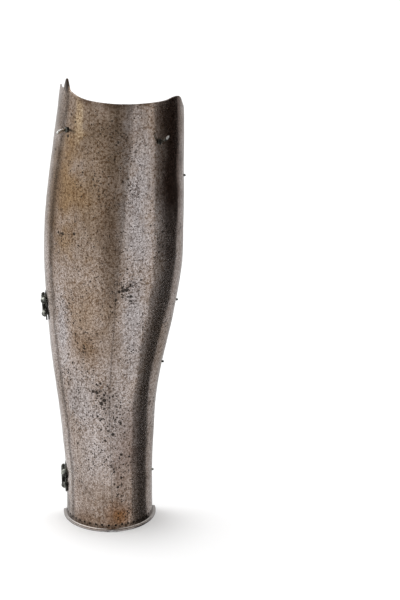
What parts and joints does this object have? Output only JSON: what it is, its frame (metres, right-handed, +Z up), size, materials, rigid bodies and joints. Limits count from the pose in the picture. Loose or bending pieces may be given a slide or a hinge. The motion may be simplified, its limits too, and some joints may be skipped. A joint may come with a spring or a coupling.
{
  "type": "greave",
  "caption": "Front plate of a plate greave for the right leg: ridged, flared steel shell with a foot flange, hinges on the outer edge, turning pins near the top and studs on the inner edge.",
  "frame": {"origin": "middle of the bounding box, on the surface that the foot flange stands on", "axes": "+Z up the shin, -Y to the front of the shin, -X to the outer side with the hinges"},
  "size_m": [0.1254, 0.0838, 0.3896],
  "materials": {
    "plate_steel": "old pitted steel with a brown patina",
    "dark_iron": "dark patinated iron",
    "rivet_iron": "worn grey iron"
  },
  "bodies": {
    "front": {"shin_plate": "plate_steel", "upper_hinge_fixed_leaf": "dark_iron", "upper_hinge_pin": "dark_iron", "upper_hinge_rivet_top": "rivet_iron", "upper_hinge_rivet_bottom": "rivet_iron", "lower_hinge_fixed_leaf": "dark_iron", "lower_hinge_pin": "dark_iron", "lower_hinge_rivet_top": "rivet_iron", "lower_hinge_rivet_bottom": "rivet_iron", "inner_edge_stud_1": "rivet_iron", "inner_edge_stud_2": "rivet_iron", "inner_edge_stud_3": "rivet_iron", "inner_edge_stud_4": "rivet_iron"},
    "upper_leaf": {"upper_hinge_free_leaf": "dark_iron"},
    "lower_leaf": {"lower_hinge_free_leaf": "dark_iron"},
    "outer_pin": {"outer_turning_pin": "dark_iron"},
    "inner_pin": {"inner_turning_pin": "dark_iron"}
  },
  "joints": [
    {"name": "upper_hinge", "type": "hinge", "parent": "front", "child": "upper_leaf", "pos_m": [-0.06005, 0.02811, 0.19], "axis": [-0.0565, -0.001, 0.9984], "range_deg": [0, 110]},
    {"name": "lower_hinge", "type": "hinge", "parent": "front", "child": "lower_leaf", "pos_m": [-0.04641, 0.0259, 0.03294], "axis": [-0.019, 0.0002, 0.9998], "range_deg": [0, 110]},
    {"name": "outer_pin_turn", "type": "hinge", "parent": "front", "child": "outer_pin", "pos_m": [-0.03804, -0.01366, 0.349], "axis": [-0.8601, -0.4974, 0.1131], "continuous": true},
    {"name": "inner_pin_turn", "type": "hinge", "parent": "front", "child": "inner_pin", "pos_m": [0.03666, -0.03105, 0.34099], "axis": [0.5967, -0.8019, -0.0309], "continuous": true}
  ]
}
